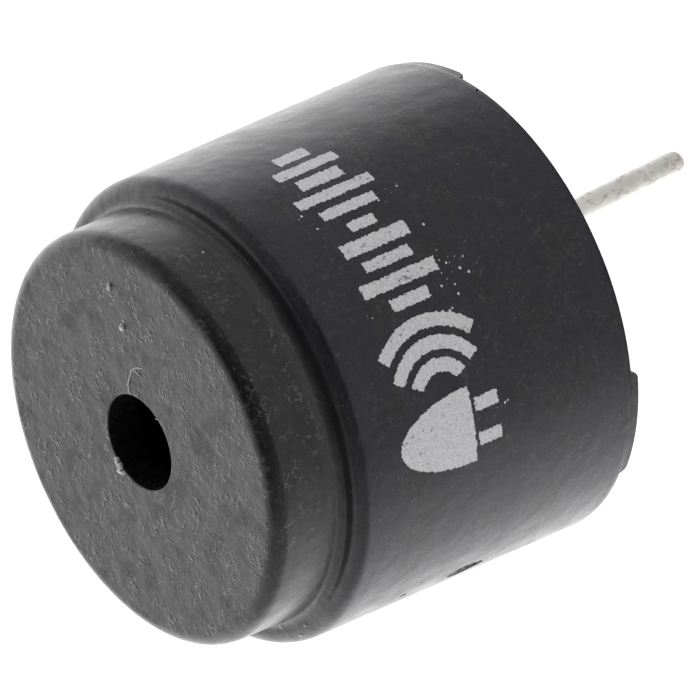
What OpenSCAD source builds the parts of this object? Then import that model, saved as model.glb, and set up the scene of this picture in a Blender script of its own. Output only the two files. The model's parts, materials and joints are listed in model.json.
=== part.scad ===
// Magnetic buzzer for a circuit board, sealed, with its driver inside.
// A moulded case holds a steel diaphragm over a wound pole and a ring magnet.
// +Z points along the axis to the sound port. The origin is the centre of the
// plane of the stand-offs, which rest on the board. +X points to the first pin.

/* [Case] */
// Outer diameter of the case at its open rim
case_d = 16; // [14:0.1:20]
// Height of the case from its rim to its face
case_h = 13.75; // [12.75:0.05:18]
// Thickness of the case's side wall at the rim
wall = 1; // [0.7:0.05:1.3]
// Thickness of the case's end wall, which is the length of the sound port
top_wall = 1.2; // [0.8:0.1:2]
// Draft of the case's outside, in degrees a side
draft = 0.4; // [0:0.1:0.7]
// Radius of the shoulder's rounded edge
shoulder_round = 0.5; // [0.1:0.02:0.56]
// Width of the small chamfer round the rim's outer edge
rim_chamfer = 0.07; // [0.02:0.01:0.2]

/* [Boss] */
// Width of the shoulder that the case's outside leaves round the boss
shoulder_w = 0.95; // [0.9:0.05:1.2]
// Height of the boss over the shoulder
boss_h = 2.66; // [1.5:0.02:3.2]
// Radius of the boss's rounded edge
boss_round = 0.55; // [0.1:0.05:1]
// Radius of the hollow round between the boss's foot and the shoulder
foot_round = 0.3; // [0.05:0.05:0.35]

/* [Sound port] */
// Diameter of the sound port in the middle of the face
port_d = 3.25; // [1.5:0.05:5]

/* [Stand-offs] */
// Height of the stand-offs that lift the rim off the board
standoff_h = 0.35; // [0.2:0.05:1]
// Number of stand-offs round the rim
standoff_count = 3; // [2:1:6]
// Angle that each stand-off covers, in degrees
standoff_arc = 30.5; // [12:0.5:40]
// Direction of the first stand-off, in degrees from the first pin
standoff_turn = 54.5; // [40:0.5:80]
// Radius of the rounds at the ends of their undersides
standoff_round = 0.25; // [0.05:0.05:0.3]
// How far the stand-offs stay in from the outside and the inside of the wall
standoff_inset = 0.1; // [0.02:0.01:0.2]

/* [Gate mark] */
// Diameter of the shallow mark that the moulding gate left on the side
gate_d = 1.2; // [0.5:0.1:2]
// Depth of that mark
gate_depth = 0.1; // [0.05:0.01:0.3]
// Height of the mark's centre over the rim
gate_up = 5.25; // [3:0.05:7]
// Direction of the mark, in degrees from the first pin
gate_turn = -98; // [-180:1:180]

/* [Sound chamber and diaphragm] */
// Height of the chamber between the diaphragm and the end wall
chamber_h = 3.5; // [2.5:0.1:4]
// Width of the ledge that the diaphragm is held against
ledge_w = 0.95; // [0.8:0.05:1.3]
// Thickness of the steel diaphragm
diaphragm_t = 0.1; // [0.05:0.01:0.2]
// Thickness of the support ring's lip round the diaphragm's edge
ring_lip = 0.12; // [0.08:0.01:0.2]
// Diameter of the weight fixed to the middle of the diaphragm
weight_d = 4.6; // [2:0.1:6]
// Thickness of that weight
weight_t = 0.35; // [0.2:0.05:0.8]
// Air gap between the pole and the diaphragm
air_gap = 0.4; // [0.2:0.05:0.8]

/* [Magnet and coil] */
// Height of the support ring, from the yoke plate to the ledge
ring_h = 3.6; // [3.2:0.1:4]
// Radial thickness of the support ring's wall
ring_wall = 0.6; // [0.4:0.05:0.8]
// Height of the ring magnet
magnet_h = 2.2; // [1:0.1:2.6]
// Radial width of the ring magnet
magnet_w = 1.5; // [1:0.1:1.8]
// Thickness of the yoke plate
yoke_t = 0.8; // [0.5:0.1:1.2]
// Diameter of the pole
pole_d = 3.2; // [2.4:0.1:3.6]
// Diameter of the pole's shank, riveted into the yoke plate
shank_d = 2; // [1.2:0.1:2.2]
// How far the pole stands out of the bobbin
pole_proud = 0.5; // [0.2:0.1:1]
// Thickness of the bobbin's tube and flanges
bobbin_wall = 0.3; // [0.2:0.05:0.4]
// Radial depth of the sense winding, round the drive winding
sense_depth = 0.5; // [0.3:0.05:0.7]
// Diameter of the coil's lead wires
lead_d = 0.14; // [0.08:0.01:0.2]

/* [Driver board] */
// Thickness of the driver board
board_t = 0.8; // [0.6:0.1:1]
// Height of the transistor
transistor_h = 1; // [0.8:0.05:1.3]
// Diameter of the diode
diode_d = 1.3; // [1:0.05:1.5]
// Height of the two chip resistors
resistor_h = 0.5; // [0.35:0.05:0.7]

/* [Pins and potting] */
// Distance between the two pins
pin_pitch = 7.6; // [6.5:0.1:9]
// Diameter of the pins' tinned free length
pin_d = 0.65; // [0.5:0.05:0.9]
// Thickness of that tinning on the bare wire
tinning = 0.02; // [0.01:0.005:0.04]
// Length over which that tinning thins out inside the potting
tinning_run = 0.6; // [0.3:0.05:1]
// Length of the pins below the plane of the stand-offs
pin_len = 6.7; // [3:0.1:10]
// Lean of the first pin's free length, in degrees
pin_lean = 2.6; // [0:0.1:5]
// How far the potting lies inside the rim
potting_recess = 0.35; // [0.25:0.05:0.8]
// Height that the potting creeps up the case's wall and the pins
meniscus = 0.22; // [0.05:0.01:0.25]

/* [Hidden] */

$fn = 96;
over = 0.5;             // how far a cutting shape runs past what it cuts
sink = 0.05;            // how far a joined shape reaches into its neighbour

fit_gap = 0.05;         // clearance of the pieces that slide into each other
board_gap = 0.1;        // clearance of the board and the yoke plate in the case
flange_gap = 0.35;      // clearance between the bobbin's flanges and the magnet
winding_gap = 0.2;      // how far the windings stay in from the flanges' edges
hole_gap = 0.12;        // clearance of the pins' wires and the lead wires in their holes
wire_drop = 0.2;        // how far the pins' wires end below the board's top
pad_w = 0.45;           // width of the solder round each pin's wire
solder_h = 0.6;         // height of that solder under the board
solder_edge = 0.02;     // width of its thin edge at the wire
port_chamfer = 0.06;    // chamfer of the sound port's outer edge

rim_r = case_d / 2;
rim_z = standoff_h;
face_z = rim_z + case_h;
shoulder_z = face_z - boss_h;
shoulder_r = rim_r - (shoulder_z - rim_z) * tan(draft);
boss_r = rim_r - shoulder_w;
boss_top_r = boss_r - boss_h * tan(draft);
foot_x = boss_r - foot_round * tan(draft) + foot_round / cos(draft);
foot_z = shoulder_z + foot_round;

bore_r = rim_r - wall;
roof_z = face_z - top_wall;
ledge_z = roof_z - chamber_h;
chamber_r = bore_r - ledge_w;

ring_r = bore_r - fit_gap;
ring_in_r = ring_r - ring_wall;
seat_z = ledge_z - diaphragm_t;
diaphragm_r = ring_r - ring_lip - fit_gap;
yoke_z = ledge_z - ring_h;
yoke_r = bore_r - board_gap;
pole_z = seat_z - air_gap;
magnet_r = ring_in_r - fit_gap;
magnet_in_r = magnet_r - magnet_w;
bobbin_in_r = pole_d / 2 + fit_gap;
bobbin_r = bobbin_in_r + bobbin_wall;
bobbin_top_z = pole_z - pole_proud;
flange_r = magnet_in_r - flange_gap;
winding_r = flange_r - winding_gap;
drive_r = winding_r - sense_depth;
winding_z = yoke_z + bobbin_wall;
winding_h = bobbin_top_z - yoke_z - 2 * bobbin_wall;

board_top_z = yoke_z - yoke_t;
board_z = board_top_z - board_t;
potting_z = rim_z + potting_recess;

pin_r = pin_d / 2;
wire_r = pin_r - tinning;
wire_hole_r = wire_r + hole_gap;
wire_top_z = board_top_z - wire_drop;
knee_z = potting_z - meniscus - fit_gap;
pad_r = wire_r + pad_w;

transistor_l = 2.9;     // length of the transistor's body
transistor_w = 1.3;     // width of its body
leg_w = 0.4;            // width of its legs
leg_l = 0.5;            // length of its legs
leg_t = 0.15;           // thickness of its legs
leg_step = 0.95;        // how far its outer legs stand from its middle
transistor_in = 3.5;    // how far the transistor stays in from the board's edge
diode_l = 3.4;          // length of the diode
diode_cap_l = 0.5;      // length of its caps
diode_cap_step = 0.05;  // how far its caps stand out of the glass
diode_in = 1.7;         // how far the diode stays in from it
chip_l = 2;             // length of the chip resistors
chip_w = 1.25;          // width of the chip resistors
resistor_in = 2.3;      // how far the chip resistors stay in from it
resistor_turn = 50;     // direction of the chip resistors from the transistor

lead_r = lead_d / 2;
lead_hole_r = lead_r + hole_gap;
lead_drop = 0.25;       // how far the lead wires reach below the board
lead_joint_r = 0.42;

// Where each lead wire comes down: its radius and its direction
lead_spots = [
    [(bobbin_r + drive_r) / 2, 60],
    [drive_r - 2 * lead_r, 90],
    [(drive_r + winding_r) / 2, 120]
];

// A shape made round the axis at a radius and a direction
module at_polar(radius, turn) {
    rotate([0, 0, turn]) translate([radius, 0, 0]) children();
}

// A flat ring with its underside at z
module ring(outer_r, inner_r, z, height) {
    translate([0, 0, z]) difference() {
        cylinder(r = outer_r, h = height);
        translate([0, 0, -over]) cylinder(r = inner_r, h = height + 2 * over);
    }
}

// What a rounded edge takes off a section: the corner is at [x, z], its top is
// level and its side leans outwards by lean on the way down
module corner_cut(x, z, radius, lean) {
    centre = [x + radius * tan(lean) - radius / cos(lean), z - radius];
    outward = [cos(lean), sin(lean)];
    difference() {
        polygon([
            centre,
            [centre[0], z + over],
            [centre[0] + radius + over, z + over],
            centre + (radius + over) * outward
        ]);
        translate(centre) circle(r = radius);
    }
}

// Half section of the case's outside, from the axis to the wall
module outer_section() {
    difference() {
        polygon([
            [0, rim_z],
            [rim_r - rim_chamfer, rim_z],
            [rim_r - rim_chamfer * tan(draft), rim_z + rim_chamfer],
            [shoulder_r, shoulder_z],
            [foot_x, shoulder_z],
            [foot_x, foot_z],
            [foot_x - foot_round * cos(draft), foot_z - foot_round * sin(draft)],
            [boss_top_r, face_z],
            [0, face_z]
        ]);
        translate([foot_x, foot_z]) circle(r = foot_round);
        corner_cut(shoulder_r, shoulder_z, shoulder_round, draft);
        corner_cut(boss_top_r, face_z, boss_round, draft);
    }
}

// Half section of the space inside the case, with the port
module inner_section() {
    polygon([
        [0, rim_z - over],
        [bore_r, rim_z - over],
        [bore_r, ledge_z],
        [chamber_r, ledge_z],
        [chamber_r, roof_z],
        [port_d / 2, roof_z],
        [port_d / 2, face_z - port_chamfer],
        [port_d / 2 + port_chamfer, face_z],
        [port_d / 2 + port_chamfer, face_z + over],
        [0, face_z + over]
    ]);
}

// One stand-off: a stretch of the rim's ring with its ends rounded off below
module standoff() {
    inner_r = bore_r + standoff_inset;
    outer_r = rim_r - standoff_inset;
    end_turn = standoff_arc / 2;
    difference() {
        rotate([0, 0, -end_turn]) rotate_extrude(angle = 2 * end_turn)
            translate([inner_r, 0]) square([outer_r - inner_r, rim_z + sink]);
        for (side = [-1, 1]) rotate([0, 0, side * end_turn])
            translate([inner_r - over, 0, 0]) rotate([90, 0, 90])
                linear_extrude(outer_r - inner_r + 2 * over) end_cut(side);
    }
}

// Section of what the round takes off a stand-off's end. The end's lower corner is at
// the origin, and the end faces the way of side.
module end_cut(side) {
    difference() {
        translate([side > 0 ? -standoff_round : -over, -over])
            square([standoff_round + over, standoff_round + over]);
        translate([-side * standoff_round, standoff_round]) circle(r = standoff_round);
    }
}

module housing() {
    color([0.13, 0.13, 0.14]) difference() {
        union() {
            rotate_extrude() difference() {
                outer_section();
                inner_section();
            }
            for (i = [0:standoff_count - 1])
                rotate([0, 0, standoff_turn + i * 360 / standoff_count]) standoff();
        }
        translate([0, 0, rim_z + gate_up]) rotate([0, 0, gate_turn])
            translate([rim_r - gate_up * tan(draft) - gate_depth, 0, 0])
                rotate([0, 90, 0]) cylinder(d = gate_d, h = gate_depth + over);
    }
}

module diaphragm() {
    color([0.62, 0.63, 0.65]) translate([0, 0, seat_z])
        cylinder(r = diaphragm_r, h = diaphragm_t);
}

module diaphragm_weight() {
    color([0.72, 0.72, 0.7]) translate([0, 0, ledge_z])
        cylinder(d = weight_d, h = weight_t);
}

module support_ring() {
    color([0.85, 0.84, 0.8]) difference() {
        ring(ring_r, ring_in_r, yoke_z, ring_h);
        translate([0, 0, seat_z]) cylinder(r = diaphragm_r + fit_gap, h = diaphragm_t + over);
    }
}

module ring_magnet() {
    color([0.2, 0.19, 0.19]) ring(magnet_r, magnet_in_r, yoke_z, magnet_h);
}

module yoke_plate() {
    color([0.66, 0.66, 0.64]) difference() {
        ring(yoke_r, shank_d / 2, board_top_z, yoke_t);
        for (spot = lead_spots) at_polar(spot[0], spot[1])
            translate([0, 0, board_top_z - over]) cylinder(r = lead_hole_r, h = yoke_t + 2 * over);
    }
}

module pole() {
    color([0.6, 0.6, 0.6]) union() {
        translate([0, 0, yoke_z]) cylinder(d = pole_d, h = pole_z - yoke_z);
        translate([0, 0, board_top_z]) cylinder(d = shank_d, h = yoke_t + sink);
    }
}

module bobbin() {
    color([0.9, 0.88, 0.8]) difference() {
        union() {
            translate([0, 0, yoke_z]) cylinder(r = bobbin_r, h = bobbin_top_z - yoke_z);
            for (z = [yoke_z, bobbin_top_z - bobbin_wall])
                translate([0, 0, z]) cylinder(r = flange_r, h = bobbin_wall);
        }
        translate([0, 0, yoke_z - over]) cylinder(r = bobbin_in_r, h = ring_h + 2 * over);
        for (spot = lead_spots) at_polar(spot[0], spot[1])
            translate([0, 0, yoke_z - over]) cylinder(r = lead_hole_r, h = bobbin_wall + over);
    }
}

module drive_winding() {
    color([0.72, 0.36, 0.16]) ring(drive_r, bobbin_r, winding_z, winding_h);
}

module sense_winding() {
    color([0.78, 0.42, 0.2]) ring(winding_r, drive_r, winding_z, winding_h);
}

// A lead wire from its winding down through the yoke plate and the board
module lead(spot) {
    color([0.75, 0.4, 0.18]) at_polar(spot[0], spot[1])
        translate([0, 0, board_z - lead_drop]) cylinder(r = lead_r, h = winding_z - board_z + lead_drop);
}

// The drops of solder that hold the lead wires under the board
module lead_joints() {
    color([0.75, 0.76, 0.77]) for (spot = lead_spots) difference() {
        at_polar(spot[0], spot[1]) translate([0, 0, board_z]) difference() {
            sphere(r = lead_joint_r);
            translate([0, 0, lead_joint_r]) cube(2 * lead_joint_r, center = true);
        }
        lead(spot);
    }
}

module driver_board() {
    color([0.55, 0.4, 0.2]) difference() {
        translate([0, 0, board_z]) cylinder(r = yoke_r, h = board_t);
        for (spot = lead_spots) at_polar(spot[0], spot[1])
            translate([0, 0, board_z - over]) cylinder(r = lead_hole_r, h = board_t + 2 * over);
        for (side = [-1, 1]) translate([side * pin_pitch / 2, 0, board_z - over])
            cylinder(r = wire_hole_r, h = board_t + 2 * over);
    }
}

// Transistor: a moulded body under the board, with two legs on one side and
// one on the other
module transistor() {
    color([0.1, 0.1, 0.1]) translate([0, transistor_in - yoke_r, board_z]) union() {
        translate([-transistor_l / 2, -transistor_w / 2, -transistor_h])
            cube([transistor_l, transistor_w, transistor_h]);
        for (x = [-leg_step, leg_step]) translate([x - leg_w / 2, transistor_w / 2 - sink, -leg_t])
            cube([leg_w, leg_l + sink, leg_t]);
        translate([-leg_w / 2, -transistor_w / 2 - leg_l, -leg_t]) cube([leg_w, leg_l + sink, leg_t]);
    }
}

// Diode: a glass body with a metal cap on each end, lying under the board
module flyback_diode() {
    color([0.8, 0.45, 0.25]) translate([0, yoke_r - diode_in, board_z - diode_d / 2])
        rotate([0, 90, 0]) union() {
            cylinder(d = diode_d - 2 * diode_cap_step, h = diode_l, center = true);
            for (side = [-1, 1]) translate([0, 0, side * (diode_l - diode_cap_l) / 2])
                cylinder(d = diode_d, h = diode_cap_l, center = true);
        }
}

// Chip resistor under the board, at a direction
module chip_resistor(turn) {
    color([0.12, 0.12, 0.13]) at_polar(yoke_r - resistor_in, turn)
        translate([-chip_w / 2, -chip_l / 2, board_z - resistor_h]) cube([chip_w, chip_l, resistor_h]);
}

module base_resistor() {
    chip_resistor(-90 - resistor_turn);
}

module sense_resistor() {
    chip_resistor(-90 + resistor_turn);
}

// What the outline of a pin's solder leaves hollow round the wire
module solder_hollow() {
    translate([pad_r, board_z - solder_h]) circle(r = pad_w - solder_edge);
}

// Solder of one pin: a sleeve in the board's hole and a hollow cone under it
module solder(side) {
    color([0.75, 0.76, 0.77]) translate([side * pin_pitch / 2, 0, 0]) rotate_extrude()
        difference() {
            polygon([
                [wire_r, board_z - solder_h],
                [pad_r, board_z - solder_h],
                [pad_r, board_z],
                [wire_hole_r, board_z],
                [wire_hole_r, wire_top_z],
                [wire_r, wire_top_z]
            ]);
            solder_hollow();
        }
}

// Half section of a pin's wire from z to its top: the tinning thins out on it
// over the first stretch inside the potting
module wire_section(z, top) {
    polygon([
        [0, z],
        [wire_r + tinning / 2, z],
        [wire_r + tinning / 2, knee_z],
        [wire_r, knee_z + tinning_run],
        [wire_r, top],
        [0, top]
    ]);
}

// One pin: a bare wire in the board and the potting, and a tinned free length
// that leaves the potting at its own lean and ends in a round tip
module pin(side, lean) {
    reach = (knee_z + pin_len - pin_r) / cos(lean);
    color([0.75, 0.74, 0.7]) translate([side * pin_pitch / 2, 0, 0]) union() {
        rotate_extrude() wire_section(knee_z - sink, wire_top_z);
        translate([0, 0, knee_z]) rotate([lean, 0, 0]) rotate_extrude() {
            translate([0, -reach]) square([pin_r, reach]);
            translate([0, -reach]) difference() {
                circle(r = pin_r);
                translate([-2 * pin_r, -2 * pin_r]) square([2 * pin_r, 4 * pin_r]);
            }
        }
    }
}

module pin_plus() {
    pin(1, pin_lean);
}

module pin_minus() {
    pin(-1, 0);
}

// The space that one pin's wire and solder take out of the potting
module pin_pocket(side) {
    translate([side * pin_pitch / 2, 0, 0]) rotate_extrude() {
        wire_section(knee_z - over, board_z);
        difference() {
            translate([0, board_z - solder_h]) square([pad_r, solder_h + over]);
            solder_hollow();
        }
    }
}

// The potting creeps up a wall in a hollow curve: this is half its section, with
// the wall at x and the room on the side that toward points to
module creep_section(x, toward) {
    difference() {
        translate([x + min(toward, 0) * meniscus, potting_z - meniscus])
            square([meniscus, meniscus + sink]);
        translate([x + toward * meniscus, potting_z - meniscus]) circle(r = meniscus);
    }
}

module potting() {
    color([0.08, 0.08, 0.09]) difference() {
        union() {
            translate([0, 0, potting_z]) cylinder(r = bore_r, h = board_z - potting_z);
            rotate_extrude() creep_section(bore_r, -1);
            for (side = [-1, 1]) translate([side * pin_pitch / 2, 0, 0]) rotate_extrude() {
                translate([0, potting_z - meniscus]) square([pin_r, meniscus + sink]);
                creep_section(pin_r, 1);
            }
        }
        transistor();
        flyback_diode();
        base_resistor();
        sense_resistor();
        for (spot = lead_spots) at_polar(spot[0], spot[1])
            translate([0, 0, board_z]) sphere(r = lead_joint_r);
        for (side = [-1, 1]) pin_pocket(side);
    }
}

housing();
diaphragm();
diaphragm_weight();
support_ring();
ring_magnet();
yoke_plate();
pole();
bobbin();
drive_winding();
sense_winding();
lead(lead_spots[0]);  // lead_drive
lead(lead_spots[1]);  // lead_common
lead(lead_spots[2]);  // lead_sense
lead_joints();
driver_board();
transistor();
flyback_diode();
base_resistor();
sense_resistor();
solder(1);  // solder_plus
solder(-1);  // solder_minus
pin_plus();
pin_minus();
potting();
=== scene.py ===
"""A magnetic buzzer for a circuit board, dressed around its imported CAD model.

The frame is the part's own: +Z along the axis to the sound port, the origin in the plane
of the stand-offs, +X towards the first pin. Sizes below are in millimetres.
"""

import json
import math
import random

import bmesh
import bpy
from mathutils import Matrix, Vector


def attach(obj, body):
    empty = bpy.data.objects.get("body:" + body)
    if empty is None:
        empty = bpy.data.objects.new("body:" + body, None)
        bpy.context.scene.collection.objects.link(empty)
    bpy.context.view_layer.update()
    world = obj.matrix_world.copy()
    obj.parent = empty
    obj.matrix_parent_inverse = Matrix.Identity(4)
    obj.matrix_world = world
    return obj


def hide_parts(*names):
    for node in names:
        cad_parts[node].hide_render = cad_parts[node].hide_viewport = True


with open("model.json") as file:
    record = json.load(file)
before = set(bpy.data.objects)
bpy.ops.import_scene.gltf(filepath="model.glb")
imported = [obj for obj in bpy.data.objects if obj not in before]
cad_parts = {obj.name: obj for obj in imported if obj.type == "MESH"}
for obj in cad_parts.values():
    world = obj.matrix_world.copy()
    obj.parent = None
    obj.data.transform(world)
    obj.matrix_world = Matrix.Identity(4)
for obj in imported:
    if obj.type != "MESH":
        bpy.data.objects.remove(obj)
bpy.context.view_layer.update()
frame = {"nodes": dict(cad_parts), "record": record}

MM = 0.001

# ---------------------------------------------------------------- sizes of the case
RIM_R = 8.0
RIM_EASE = (0.05, 0.25)   # how far the rim's outer edge is eased in, and up
RIM_Z = 0.35
FACE_Z = 14.10
WALL = 1.0
TOP_WALL = 1.2
DRAFT = math.radians(0.4)
SHOULDER_W = 0.95
SHOULDER_Z = FACE_Z - 2.66
SHOULDER_ROUND = 0.5
FOOT_ROUND = 0.3
BOSS_ROUND = 0.55
CHAMBER_H = 3.5
LEDGE_W = 0.95
PORT_R = 1.625
EDGE = 0.05               # rounding of the small edges of the moulding
HOLD = 0.04               # a ring of points this near a round keeps the shading of a flat even
CASE_SIDES = 256          # facets round the case
SIDE_RINGS = (0.4, 0.8, 13)    # rings up its side: the first one's height over the rim, step, count
FACE_RINGS = (5.2, 4.0, 2.8)   # radii of the rings on its face

STANDOFF_TURNS = (54.5, 174.5, 294.5)
STANDOFF_ARC = 30.5
STANDOFF_ROUND = 0.28
STANDOFF_INSET = 0.1
ROUND_STEPS = 8           # facets of the round at each end
LEVEL_STEPS = 12          # facets of the level stretch between the rounds

# The gate's mark and two pinholes: turn, height, reach, depth, and the height of the nub inside.
PITS = ((-98.0, 5.7, 0.6, 0.1, 0.075),
        (-97.6, 8.2, 0.12, 0.07, 0.0),
        (-93.2, 7.74, 0.05, 0.04, 0.0))
PIT_SIDES = 40
PIT_ACROSS = 0.65         # half width of a pit, as a share of its reach
PIT_ALONG = 1.22          # half length along the axis, as a share of its reach
PIT_RAG = 0.05            # unevenness of its edge, as a share of its reach
PIT_GRAIN = 0.12          # unevenness of its floor, as a share of its depth
PIT_CLEAR = 0.6           # how far its cutter stands over its floor

# The crumb of flash on the rim.
NUB_TURN = 31.2
NUB_R = 0.055
NUB_UP = 0.12             # height of its centre over the rim
NUB_SINK = 0.3            # how far its centre lies inside the case, as a share of its radius

PIN_PITCH = 7.6
PIN_R = 0.345             # the wire with its uneven tinning
PIN_SIDES = 48
PIN_RINGS = 60            # rings along the tinned length
PIN_KNEE_STEP = 0.02      # how far below the knee the last of them lies
PIN_TIP_Z = -6.7
PIN_KNEE_Z = 0.43
PIN_TOP_Z = 4.8
PIN_LEAN = math.radians(2.6)
WIRE_R = 0.305
WIRE_PITCH = 0.07         # height of one turn of the coil's enamelled wire
TIP_BEND = 0.07           # how far the cutter pushed the pins' tips aside
TIP_RUN = 0.8             # over this last length
TIP_FLATNESS = 0.8        # height of the tips' round, as a share of the pin's radius
TIP_RINGS = 12
TINNING = ((0.004, 2.1, 1), (0.003, 5.3, 2), (0.002, 11, 3))    # waves: height, along, round

# The print on the side. A turn is counted from the case's front, as seen from above
# clockwise, and a depth from the face down. Widths run round the case.
PRINT_THICK = 0.012
PRINT_SINK = 0.03         # how far the ink's underside lies in the case
INK_STRIP = 0.35          # the widest strip that is laid flat on the round side
RAG_STEP = 0.05           # length of the steps of the ink's ragged edge
RAG_REACH = 0.034         # how far the edge strays at each
SIGN_TURN = 17.8
SIGN_DEPTH = 6.45
SIGN_WIDTH = 5.3
SIGN_HEIGHT = 4.0
DOME_R = 1.3
LEG_LENGTH = 1.05
LEG_SPREAD = 0.46         # distance of the legs from the dome's middle, as a share of its radius
LEG_GAP = 0.3             # gap between the dome and its legs, as a share of the stroke
STROKE = 0.46
ARC_RADII = (1.0, 1.73, 2.46)
ARC_REACH = 60.0
ARC_MARGIN = 0.97         # share of the sign's height that the arcs may fill
WAVE_TURN = -29.5
WAVE_DEPTH = 6.52
WAVE_BAR = 0.44
WAVE_BARS = (0.5, 1.0, 0.62, 0.86, 0.34, 0.72, 1.0, 0.56, 0.8, 0.42)    # shares of the height
BAR_HALVES = (0.42, 0.58)      # range of a bar's half width, as a share of WAVE_BAR
WAVE_WIDTH = 7.1
WAVE_HEIGHT = 3.0

# Ink spatter: each patch's turn and depth, and its size round the case and along the axis.
SPATTER_PATCHES = ((-20.0, 8.1, 3.6, 1.1), (-4.0, 8.5, 2.4, 1.8), (25.5, 8.7, 0.8, 1.2),
                   (-20.0, 4.9, 4.5, 0.4))
SPATTER_DENSITY = 14.0    # dots in a square millimetre, at the thickest
SPATTER_RADII = (0.01, 0.055)
SPATTER_LIFT = 0.004      # how far the dots' middles lie over the side
SPATTER_GRID = (8, 3)     # facets of each patch, round the case and along the axis
SPATTER_SEED = 4
DOT_FLATNESS = 0.3

# Crumbs: the turn and radius (or depth), then half sizes along, across and up. A face's
# crumb also has the slant of its length against the radius.
FACE_CRUMBS = ((173.0, 1.69, 80.0, (0.12, 0.10, 0.09)), (166.0, 1.72, 75.0, (0.20, 0.13, 0.11)),
               (160.0, 1.82, 60.0, (0.19, 0.10, 0.10)), (-66.3, 5.36, 20.0, (0.15, 0.07, 0.10)),
               (-66.4, 5.06, 0.0, (0.05, 0.04, 0.04)), (-62.3, 4.03, 60.0, (0.13, 0.11, 0.12)),
               (-60.7, 4.30, 0.0, (0.05, 0.04, 0.03)))
SHOULDER_CRUMBS = ((91.0, 7.69, (0.06, 0.09, 0.04)), (97.0, 7.23, (0.08, 0.12, 0.05)),
                   (86.3, 7.45, (0.05, 0.07, 0.04)))
BOSS_CRUMBS = ((-42.0, 1.81, (0.05, 0.035, 0.02)),)
CRUMB_UNEVEN = (0.72, 1.28)    # range of a crumb's points, as a share of its size
FIBRE_R = 0.021
FIBRE_SIDES = 6
FIBRE_END = 0.55          # radius of a fibre's ends, as a share of its own
FIBRE_LIFT = 0.012        # how far a fibre's middle lies over the face
FACE_FIBRES = (((-65.5, 1.66), (-66.0, 1.85), (-65.5, 2.05), (-63.4, 2.2), (-61.6, 2.32),
                (-59.5, 2.46), (-57.7, 2.6), (-55.0, 2.7), (-52.5, 2.79), (-49.0, 2.86),
                (-45.7, 2.97)),
               ((-57.7, 2.6), (-53.9, 2.63), (-50.5, 2.6), (-47.6, 2.55)),
               ((-18.0, 1.6), (-16.0, 1.67), (-14.3, 1.74)))

# ---------------------------------------------------------------- the camera's place
# The camera stands at this azimuth, looks down by this much and is rolled, so that the
# case's axis runs up to the right. The face's centre is at FACE_PIXEL in the image.
CAMERA_AZIMUTH = math.radians(-17.9)
CAMERA_ELEVATION = math.radians(31.639)
AXIS_TILT = math.radians(23.471)
CAMERA_DISTANCE = 600.0
IMAGE_SIDE = 700
FACE_PIXEL = (139.21, 442.63)
PIXELS_PER_MM = 31.443
SENSOR = 36.0
CLIP = (0.01, 100.0)      # metres

# ---------------------------------------------------------------- the studio's light
TENT = 1.6                # strength of the pale tent
FRONT_PANEL = 0.585       # strength of its greyer front
BACK_WALL = 2.02          # strength of its back
HIGH_LOSS = 0.5           # share of the light that its upper part lacks
GAP_DEPTH = 0.9           # share of the light that the gap for the camera lacks
UNDERSIDE = 0.2           # what the table under the part leaves of the light from straight below

# Where each of them starts and ends, in degrees from the case's front or from level.
FRONT_LEFT = (-116, -88)
FRONT_RIGHT = (48, 95)
BACK_EDGE = (105, 150)
HIGH_EDGE = (-24, 4)
BACK_RISE = 41            # how much higher the upper part begins at the back
GAP_LOW = (-22, -4)
GAP_TOP = (95, 112)
GAP_SIDE = (0.3, 0.85)    # these two as sines of the angle to either side
TABLE_EDGE = (-54, -38)

FLOOR_REACH = 2.0         # metres from the middle to each side
FLOOR_GAP = 0.02          # how far the floor lies below the pins' tips

UP = Vector((0, 0, 1))
FRONT = Vector((math.cos(CAMERA_AZIMUTH), math.sin(CAMERA_AZIMUTH), 0))
ACROSS = FRONT.cross(UP)      # level, to the right of someone who faces the case's front


# ---------------------------------------------------------------- shader arithmetic
class Wire:
    """A shader socket in an expression: each operation on it adds one Math node."""

    def __init__(self, tree, socket):
        self.tree = tree
        self.socket = socket

    def math(self, operation, *values):
        slots = dict(enumerate((self,) + values))
        return add_node(self.tree, "ShaderNodeMath", {"operation": operation}, slots)

    def __add__(self, other):
        return self.math("ADD", other)

    def __mul__(self, other):
        return self.math("MULTIPLY", other)

    def __sub__(self, other):
        return self.math("SUBTRACT", other)

    def __rsub__(self, other):
        slots = {0: other, 1: self}
        return add_node(self.tree, "ShaderNodeMath", {"operation": "SUBTRACT"}, slots)

    def __pow__(self, other):
        return self.math("POWER", other)

    __radd__ = __add__
    __rmul__ = __mul__

    def abs(self):
        return self.math("ABSOLUTE")

    def most(self, other):
        return self.math("MAXIMUM", other)

    def rise(self, low, high, start=0.0, end=1.0):
        """Goes smoothly from start to end while this goes from low to high."""
        return self.map_range({"interpolation_type": "SMOOTHSTEP"}, low, high, start, end)

    def ramp(self, low, high, start=0.0, end=1.0):
        """Goes straight from start to end while this goes from low to high."""
        return self.map_range({"clamp": True}, low, high, start, end)

    def map_range(self, settings, low, high, start, end):
        sockets = {"Value": self, "From Min": low, "From Max": high, "To Min": start, "To Max": end}
        return add_node(self.tree, "ShaderNodeMapRange", settings, sockets)


def add_node(tree, kind, settings=None, sockets=None, output=0):
    """Adds a node, with its settings first, and returns one of its outputs as a Wire."""
    node = tree.nodes.new(kind)
    for name, value in (settings or {}).items():
        setattr(node, name, value)
    for name, value in (sockets or {}).items():
        if isinstance(value, Wire):
            tree.links.new(value.socket, node.inputs[name])
        else:
            node.inputs[name].default_value = value
    return Wire(tree, node.outputs[output]) if node.outputs else None


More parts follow.
